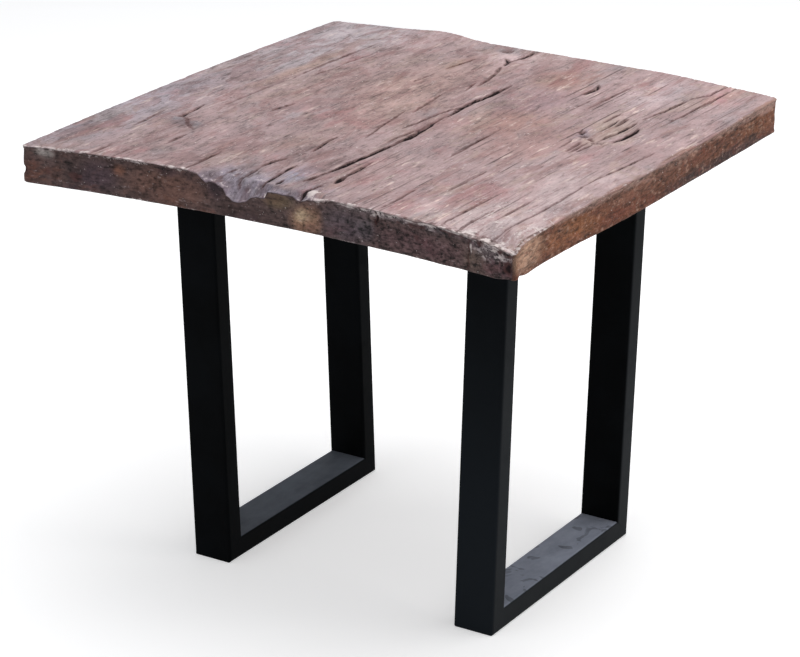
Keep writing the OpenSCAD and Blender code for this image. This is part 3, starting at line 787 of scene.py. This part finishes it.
def weathered_wood():
    """Old dry wood: tones over the slab's own stains, streaks along the grain, chips, and dirt with painted
    shade in its cracks and hollows, a painted highlight along the front arris and a painted sheen on the
    top.
    """
    f = Finish("weathered_wood")
    stain, grime_and_shade, chalk_and_highlight = f.attribute("stain", 0), f.attribute("grime_and_shade"), f.attribute("chalk_and_highlight")
    polish, end_grain, face_up = f.attribute("polish"), f.attribute("end_grain"), f.attribute("face_up")
    mottle_at = f.mix("VECTOR", end_grain, f.place((1, 0.4, 1)), f.place((0.55, 1, 1)))
    fibre_at = f.mix("VECTOR", end_grain, f.place((1, 0.16, 1)), f.place((0.2, 1, 1)))

    cloud = f.grain(mottle_at, 24.0, 4, 0.6)
    mottle = f.grain(mottle_at, 95.0, 4, 0.65)
    grit = f.grain(mottle_at, 300.0, 3, 0.6)
    streak = f.grain(fibre_at, 105.0, 4, 0.62, 0.3)
    fibre = f.grain(fibre_at, 420.0, 3, 0.6)
    crumb = f.grain(f.place(), 120.0, 4, 0.7, 0.5)
    lump = f.grain(f.mix("VECTOR", end_grain, f.place((1, 0.5, 1)), f.place((0.6, 1, 1))), 42.0, 5, 0.7, 0.6)

    xyz = f.parts(f.coordinates())
    bold = drying_checks(f, xyz, spacing=0.0125, width=0.0017, seed=5.0)
    faint = drying_checks(f, xyz, spacing=0.0052, width=0.0009, seed=31.0)
    hairline = (bold * 0.8).most(faint * 0.38) * xyz[0].ramp(-0.04, 0.14, 0.22, 1.0) * face_up
    wall = 1.0 - face_up

    red = f.grain(mottle_at, 15.0, 4, 0.6, 0.6)
    blue = f.grain(mottle_at, 21.0, 3, 0.55, 0.4)
    left = 1.0 - xyz[0].ramp(-0.02, 0.1)
    bare = (1.0 - polish) * face_up
    ends = wall * end_grain
    sides = wall - ends
    peel = f.grain(mottle_at, 34.0, 6, 0.68, 0.9).ramp(0.02, 0.22)
    beige = f.grain(f.place((1, 0.45, 1), (3.1, 0.7, 0)), 30.0, 5, 0.65, 0.7).ramp(0.12, 0.4)
    vein = f.grain(fibre_at, 44.0, 4, 0.6, 0.5).ramp(0.2, 0.6)
    flecks = f.grain(fibre_at, 150.0, 3, 0.6).ramp(0.34, 0.66) * cloud.ramp(-0.3, 0.4)
    rust = (streak * 0.4 + crumb * 0.4 - mottle * 0.6).ramp(0.06, 0.7)
    brown = f.mix("RGBA", xyz[0].ramp(-0.06, 0.04) * end_grain, BROWN_WALL, PLUM_END)
    colour = f.layered(stain, (
        ((red + lump * 0.35).ramp(0.15, 0.75) * 0.46 * bare, RED_WOOD),
        ((blue - lump * 0.3).ramp(0.15, 0.9) * 0.38 * face_up, BLUE_GREY),
        (peel * (0.2 + left * 0.24) * bare, PEELED),
        (beige * (0.3 - left * 0.1) * bare, BEIGE),
        (vein * 0.42 * bare, VEIN),
        (flecks * (0.66 - left * 0.24) * bare, FLECK),
        ((mottle * 0.5 - red * 0.6 + blue * 0.4).ramp(0.35, 1.0) * 0.18 * face_up, TOP_SHADE),
        ((lump * 0.7 + crumb * 0.4).ramp(0.0, 0.8) * 0.5 * polish, BOWL_SHADE),
        ((red + lump * 0.6).ramp(0.0, 0.8) * 0.5 * wall, brown),
        ((blue - lump * 0.5).ramp(0.0, 0.8) * 0.6 * end_grain, BLUE_END),
        (rust * 0.8 * sides, RUST_SIDE),
        ((grit * 0.5 - crumb * 0.7).ramp(0.1, 0.7) * 0.5 * sides, PALE_SIDE)))

    shade = (0.98 - streak.ramp(0.1, 1.0) * 0.3 - fibre.ramp(0.0, 0.9) * 0.26
             - grit.ramp(0.1, 0.9) * 0.3 + mottle * (0.16 + wall * 0.12) + cloud * 0.17)
    # The top is painted a little darker at the left and lighter towards the right and the back: partly the
    # wood's own tone, partly a painted sheen of the light on its gloss.
    shade += face_up * (lump * (0.18 + left * 0.08) + xyz[0].ramp(0.08, 0.2) * 0.15 - left * 0.03)
    shade += face_up * xyz[1].ramp(0.12, 0.3) * 0.06
    shade += polish * (crumb * 0.4 + grit * 0.36 + 0.04)
    shade += wall * (lump * 0.44 + fibre * 0.5 + 0.12)
    shade += ends * (crumb * 0.8 + grit) * (0.62 + xyz[0].ramp(-0.05, 0.2) * 0.7)
    shade += sides * (streak * 0.3 + crumb * 0.1 + grit * 0.6 - lump * 0.24 - mottle * 0.22 - 0.15)

    pale = f.grain(fibre_at, 230.0, 4, 0.65) * 0.6 + f.grain(mottle_at, 410.0, 2, 0.6) * 0.4
    # Worn wood and chips are pale; along the front arris they also paint a pale highlight.
    worn = (pale + chalk_and_highlight * 0.9).ramp(0.42, 0.95)
    chips_and_highlight = (crumb + grit * 0.35 + chalk_and_highlight * 1.5 + wall * 0.14 + polish * 0.35).ramp(1.1, 1.45)
    speck = f.noise(f.place((1, 0.6, 1)), 470.0, 2, 0.6)
    # The cracks, spots and hollows are painted dark, as dirt and as the shade in them.
    edge = grime_and_shade + grime_and_shade.ramp(0.05, 0.4) * (fibre * 0.14 + grit * 0.1 + streak * 0.08)
    shaded = f.mix("RGBA", 1.0, colour, shade.most(0.16), "MULTIPLY")
    colour = f.layered(shaded, (
        ((0.9 - shade).ramp(0.0, 0.6) * 0.35 * face_up, GROOVE),
        (hairline, HAIRLINE),
        (worn * (0.42 + chalk_and_highlight * 0.35).least(0.8), WORN_AND_HIGHLIGHT),
        (chips_and_highlight * 0.8, CHIP_AND_HIGHLIGHT),
        ((speck + chalk_and_highlight * 0.1 + wall * 0.01).ramp(0.71, 0.78) * 0.8, SPECK),
        (edge.ramp(0.1, 0.45) * 0.6, CRACK_EDGE),
        (edge.ramp(0.46, 0.72) * 0.95, CRACK_DARK)))

    height = ((streak * 0.25 + fibre * 0.25 + mottle * 0.3 + grit * 0.2) * 0.5 - hairline * 0.8
              + wall * (crumb * 0.5 + lump * 0.4))
    roughness = 0.62 + mottle * 0.08 - polish * 0.12 + grime_and_shade * 0.2
    f.set(Base_Color=colour, Roughness=roughness.least(0.95), Normal=f.relief(height, WOOD_RELIEF, 1.0),
          Specular_IOR_Level=0.14)
    return f.material


def black_powder_coat():
    """Satin black, with a painted sheen on the right frame's front and outer faces that fades towards the
    slab as painted shade, the left frame darker as painted shade, and dust with a painted sheen on what
    faces up.
    """
    f = Finish("black_powder_coat")
    even = f.place()
    cloud = f.grain(even, 14.0, 3, 0.55)
    peel = f.noise(even, 900.0, 2, 0.5)
    dust = f.grain(f.place((1.0, 0.5, 1.0)), 42.0, 5, 0.68)
    wiped = f.grain(even, 30.0, 2, 0.5, 1.6).ramp(0.3, 0.5)
    facing = f.parts(f.value("ShaderNodeNewGeometry", output=1))
    x, y, z = f.parts(even)
    # Painted light: 1 on the right frame, 0 on the left frame, which stays darker as painted shade.
    painted_light = x.ramp(-0.05, 0.15)
    dust_and_sheen_tone = f.mix("RGBA", painted_light, LEFT_DUST_AND_SHEEN, RIGHT_DUST_AND_SHEEN)
    # Painted sheen on the front and outer faces of the right frame, fading up towards the slab and to the
    # rear as painted shade, then dust with a painted sheen on what faces up.
    base = f.layered(COAT_DARK, (
        (cloud.ramp(-0.8, 0.8), COAT_PALE),
        (painted_light * y.ramp(-0.1, 0.05, 1.0, 0.0) * z.ramp(0.02, 0.46, 1.0, 0.2), PAINTED_FRONT_SHEEN),
        (facing[0].ramp(0.6, 0.95) * painted_light * z.ramp(0.1, 0.5, 1.0, 0.45), PAINTED_SIDE_SHEEN),
        ((0.8 + dust * 0.2 - wiped * painted_light * 0.3) * facing[2].ramp(0.6, 0.95), dust_and_sheen_tone)))
    f.set(Base_Color=base, Roughness=0.48 + cloud * 0.06 + dust.ramp(0.2, 0.9) * 0.12,
          Normal=f.relief(peel, COAT_RELIEF, 0.35), Specular_IOR_Level=0.012)
    return f.material


def bright_zinc():
    """The screws' bright plating."""
    f = Finish("bright_zinc")
    tone = f.noise(f.place(), 240.0, 3, 0.6)
    f.set(Base_Color=f.layered(ZINC_DARK, [(tone.ramp(0.3, 0.7), ZINC_PALE)]),
          Roughness=0.28 + tone * 0.2, Metallic=1.0)
    return f.material


# Screws and weld beads, repeated by Geometry Nodes

class Pattern(Nodes):
    """A Geometry Nodes tree with named inputs, which ends as one plain mesh."""

    def __init__(self, name):
        super().__init__(bpy.data.node_groups.new(name, "GeometryNodeTree"))
        self.name = name
        self.tree.interface.new_socket("Geometry", in_out="OUTPUT", socket_type="NodeSocketGeometry")
        self.inputs = self.add("NodeGroupInput")
        self.sizes = {}

    def size(self, name, value, kind="NodeSocketFloat"):
        """Names an input of the tree, and keeps its value for the modifier."""
        socket = self.tree.interface.new_socket(name, in_out="INPUT", socket_type=kind)
        self.sizes[socket.identifier] = value
        return self.inputs.outputs[name]

    def mesh(self, geometry, material):
        """The finished pattern as an object of its own."""
        solid = self.add("GeometryNodeRealizeInstances", {0: geometry})
        done = self.add("GeometryNodeSetMaterial", {0: solid, "Material": material})
        self.add("NodeGroupOutput", {0: done})
        host = add_object(self.name + "_host", bpy.data.meshes.new(self.name + "_host"))
        modifier = host.modifiers.new("pattern", "NODES")
        modifier.node_group = self.tree
        for identifier, value in self.sizes.items():
            modifier[identifier] = value
        data = finished_mesh(host)
        bpy.data.objects.remove(host)
        data.name = self.name
        return add_object(self.name, data)


# The four plates, whose middles give the span and the centre of both patterns
PLATES = [[Vector(c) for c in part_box(side + end + "_plate")] for side in ("left_", "right_")
          for end in ("front", "rear")]
PLATE_MIDDLES = [(a + b) / 2 for a, b in PLATES]
PLATE_BOTTOM = PLATES[0][0].z
PLATE_SPAN = PLATE_MIDDLES[3] - PLATE_MIDDLES[0]
PLATE_CENTRE = (PLATE_MIDDLES[0] + PLATE_MIDDLES[3]) / 2
HOLE_SPAN = (86 * MM, 40 * MM)
UPRIGHT_WIDTH, UPRIGHT_DEPTH, UPRIGHT_CORNER = 50 * MM, 25 * MM, 3 * MM
# The screw's outline from the head's middle to its point, as radius and height in millimetres, and
# its cross recess: an arm's length and half width, the recess's mouth, floor and taper
SCREW_OUTLINE = ((0, -3.6), (2.5, -3.6), (3.4, -3.2), (4.1, -2.5), (4.6, -1.6), (4.8, -0.8), (4.8, 0),
                 (2.5, 0), (2.5, 25), (0, 30))
SCREW_SIDES = 32
ARM, SLOT = 2.3, 0.5
RECESS_MOUTH, RECESS_FLOOR, RECESS_TAPER = -3.8, -1.7, 0.6
# A weld bead: its radius, how much wider than the upright it runs, how far below the plate, the
# length and height of a ripple, and the points along it and round it
BEAD_RADIUS, BEAD_WIDER, BEAD_BELOW = 1.9 * MM, 1.2 * MM, 0.5 * MM
RIPPLE_LENGTH, RIPPLE_HEIGHT = 2.1 * MM, 0.28 * MM
BEAD_POINTS, BEAD_SIDES = 220, 10


def pan_head_screw():
    """Head below z = 0 with a cross recess, shank above, in the solid's own sizes."""
    points, faces = [], []
    for radius, height in SCREW_OUTLINE:
        for k in range(SCREW_SIDES if radius else 1):
            turn = 2 * math.pi * k / SCREW_SIDES
            points.append((radius * MM * math.cos(turn), radius * MM * math.sin(turn), height * MM))
    starts = [1 + n * SCREW_SIDES for n in range(len(SCREW_OUTLINE) - 2)]
    rings = [[0]] + [[start + k for k in range(SCREW_SIDES)] for start in starts] + [[len(points) - 1]]
    for lower, upper in zip(rings[:-1], rings[1:]):
        for k in range(SCREW_SIDES):
            m = (k + 1) % SCREW_SIDES
            if len(lower) == 1:
                faces.append((lower[0], upper[m], upper[k]))
            elif len(upper) == 1:
                faces.append((lower[k], lower[m], upper[0]))
            else:
                faces.append((lower[k], lower[m], upper[m], upper[k]))
    screw = add_mesh("pan_head_screw", points, faces)

    cross = []
    arm = [(ARM, SLOT), (SLOT, SLOT), (SLOT, ARM)]
    for quarter in range(4):
        cross += arm
        arm = [(-y, x) for x, y in arm]
    mouth = [(x * MM, y * MM, RECESS_MOUTH * MM) for x, y in cross]
    floor = [(x * RECESS_TAPER * MM, y * RECESS_TAPER * MM, RECESS_FLOOR * MM) for x, y in cross]
    count = len(cross)
    walls = [(k, (k + 1) % count, count + (k + 1) % count, count + k) for k in range(count)]
    ends = [tuple(range(count))[::-1], tuple(range(count, 2 * count))]
    cutter = add_mesh("cross_recess", mouth + floor, walls + ends)
    cut = screw.modifiers.new("recess", "BOOLEAN")
    cut.object = cutter
    cut.operation = "DIFFERENCE"
    cut.solver = "EXACT"
    screw.data = finished_mesh(screw)
    screw.modifiers.clear()
    bpy.data.objects.remove(cutter)
    return screw


def four_points(pattern, name, span):
    """The corners of a rectangle, as points."""
    return pattern.add("GeometryNodeMeshGrid", {
        "Size X": pattern.size(name + " X", span[0]), "Size Y": pattern.size(name + " Y", span[1]),
        "Vertices X": 2, "Vertices Y": 2})


def plate_points(pattern):
    """One point under the middle of each of the four plates."""
    grid = four_points(pattern, "Plate Span", PLATE_SPAN)
    middle = (PLATE_CENTRE.x, PLATE_CENTRE.y, PLATE_BOTTOM)
    place = pattern.size("Plate Centre", middle, "NodeSocketVector")
    return pattern.add("GeometryNodeTransform", {"Geometry": grid, "Translation": place})


def frame_screws(material):
    """Four screws to a plate, each turned its own way."""
    template = pan_head_screw()
    p = Pattern("frame_screws")
    holes = four_points(p, "Hole Span", HOLE_SPAN)
    at_plates = p.add("GeometryNodeInstanceOnPoints", {"Points": plate_points(p), "Instance": holes})
    points = p.add("GeometryNodeRealizeInstances", {0: at_plates})
    turn = p.add("FunctionNodeRandomValue", {"Seed": 5, "Min": (0, 0, 0), "Max": (0, 0, math.pi)},
                 {"data_type": "FLOAT_VECTOR"})
    info = p.add("GeometryNodeObjectInfo", {"Object": p.size("Screw", template, "NodeSocketObject")})
    rows = p.add("GeometryNodeInstanceOnPoints", {
        "Points": points, "Instance": info.outputs["Geometry"], "Rotation": turn})
    piece = p.mesh(rows, material)
    bpy.data.objects.remove(template)
    return piece


def weld_beads(material):
    """A rippled bead round the top of each upright, in the corner under its plate."""
    p = Pattern("weld_beads")
    bead = p.size("Bead Radius", BEAD_RADIUS)
    around = p.add("GeometryNodeCurvePrimitiveQuadrilateral", {
        "Width": p.size("Upright Width", UPRIGHT_WIDTH + BEAD_WIDER),
        "Height": p.size("Upright Depth", UPRIGHT_DEPTH + BEAD_WIDER)})
    soft = p.add("GeometryNodeFilletCurve", {
        "Curve": around, "Radius": p.size("Corner Radius", UPRIGHT_CORNER), "Count": 4}, {"mode": "POLY"})
    even = p.add("GeometryNodeResampleCurve", {"Curve": soft, "Count": BEAD_POINTS})
    marked = p.add("GeometryNodeCaptureAttribute", {0: even})
    marked.capture_items.new("FLOAT", "Arc")
    p.feed(marked.inputs["Arc"], p.add("GeometryNodeSplineParameter").outputs["Length"])
    section = p.add("GeometryNodeCurvePrimitiveCircle", {"Resolution": BEAD_SIDES, "Radius": bead})
    tube = p.add("GeometryNodeCurveToMesh", {"Curve": marked, "Profile Curve": section})
    arc = Value(p, marked.outputs["Arc"])
    swell = (arc * p.size("Ripples", 2 * math.pi / RIPPLE_LENGTH)).sine() * RIPPLE_HEIGHT
    offset = p.add("ShaderNodeVectorMath", {0: p.add("GeometryNodeInputNormal"), "Scale": swell},
                   {"operation": "SCALE"})
    rippled = p.add("GeometryNodeSetPosition", {"Geometry": tube, "Offset": offset})
    under = p.add("GeometryNodeTransform", {"Geometry": rippled, "Translation": (0, 0, -BEAD_BELOW)})
    beads = p.add("GeometryNodeInstanceOnPoints", {"Points": plate_points(p), "Instance": under})
    return p.mesh(beads, material)


# Pieces

wood = weathered_wood()
black = black_powder_coat()
zinc = bright_zinc()

slab = carve_slab()
slab.data.materials.append(wood)
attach(slab, BODY)
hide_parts("tabletop_slab")

screws = frame_screws(zinc)
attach(screws, BODY)
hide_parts("left_frame_screws", "right_frame_screws")

welds = weld_beads(black)
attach(welds, BODY)

for name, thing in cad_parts.items():
    if name.endswith(("tube", "upright", "plate")):
        thing.data.materials.clear()
        thing.data.materials.append(black)


# Floor, light and camera

SOFT_LIGHT = 0.42
SKY_TINT = (0.94, 0.96, 1.0, 1)
WHITE = (1, 1, 1, 1)
FLOOR_TINT = (0.85, 0.85, 0.85, 1)
FLOOR_SIZE, FLOOR_LEVEL = 6.0, -0.0005
# Each soft light: its name, place, target, size, power and colour
SOFTBOXES = (
    ("overhead", (0.2, 0.5, 2.6), (0, 0, 0.4), (2.4, 2.4), 50, (1, 1, 1)),
    ("right_side", (2.6, 0.3, 1.3), (0, 0, 0.3), (1.6, 1.6), 17, (1.0, 0.98, 0.96)),
    ("front_fill", (-1.0, -2.8, 1.4), (0, 0, 0.3), (2.0, 1.4), 8, (1, 1, 1)))
# The camera's place in metres, and which way its own right, up and forward point
CAMERA_PLACE = (1.6830, -2.7197, 1.4944)
CAMERA_RIGHT = Vector((0.84749, 0.53081, -0.00059))
CAMERA_UP = Vector((-0.19062, 0.30537, 0.93296))
CAMERA_FORWARD = Vector((-0.49541, 0.79056, -0.35998))
SENSOR, LENS, SIGHT = 36.0, 135.0, 50.0


def whiteness(nodes):
    """1 for camera, glossy and transmission rays, which see the white studio, and 0 for light."""
    path = nodes.add("ShaderNodeLightPath").outputs
    seen = Value(nodes, path["Is Camera Ray"])
    return seen.most(path["Is Glossy Ray"]).most(path["Is Transmission Ray"])


def studio():
    """White all round with an even soft light, a floor that looks as white, and three soft lights."""
    world = bpy.data.worlds.new("studio")
    SCENE.world = world
    world.use_nodes = True
    sky = Nodes(world.node_tree)
    soft = sky.add("ShaderNodeBackground", {0: SKY_TINT, 1: SOFT_LIGHT})
    white = sky.add("ShaderNodeBackground", {0: WHITE})
    both = sky.add("ShaderNodeMixShader", {0: whiteness(sky), 1: soft, 2: white})
    sky.add("ShaderNodeOutputWorld", {0: both})

    corners = ((-1, -1), (1, -1), (1, 1), (-1, 1))
    points = [(sx * FLOOR_SIZE, sy * FLOOR_SIZE, FLOOR_LEVEL) for sx, sy in corners]
    floor = add_mesh("pale_floor", points, [(0, 1, 2, 3)])
    f = Finish("pale_floor")
    f.set(Base_Color=FLOOR_TINT, Roughness=0.9, Specular_IOR_Level=0.0)
    glow = f.add("ShaderNodeEmission", {1: whiteness(f) * SOFT_LIGHT})
    f.feed(f.output.inputs[0], f.add("ShaderNodeAddShader", {0: f.shader, 1: glow}))
    floor.data.materials.append(f.material)

    for name, place, target, size, power, colour in SOFTBOXES:
        lamp = bpy.data.lights.new(name, "AREA")
        lamp.shape = "RECTANGLE"
        lamp.size, lamp.size_y = size
        lamp.energy = power
        lamp.color = colour
        thing = add_object(name, lamp)
        thing.location = place
        thing.rotation_euler = (Vector(target) - Vector(place)).to_track_quat("-Z", "Y").to_euler()


def photograph_camera():
    """The camera stands where the photograph was taken: 1.5 m up, in front and to the right."""
    data = bpy.data.cameras.new("photograph")
    data.sensor_width = SENSOR
    data.sensor_fit = "HORIZONTAL"
    data.lens = LENS
    data.clip_end = SIGHT
    camera = add_object("photograph", data)
    turn = Matrix((CAMERA_RIGHT, CAMERA_UP, -CAMERA_FORWARD)).transposed()
    camera.matrix_world = Matrix.Translation(CAMERA_PLACE) @ turn.to_4x4()
    bpy.context.scene.camera = camera


studio()
photograph_camera()
bpy.context.scene.view_settings.view_transform = "Standard"
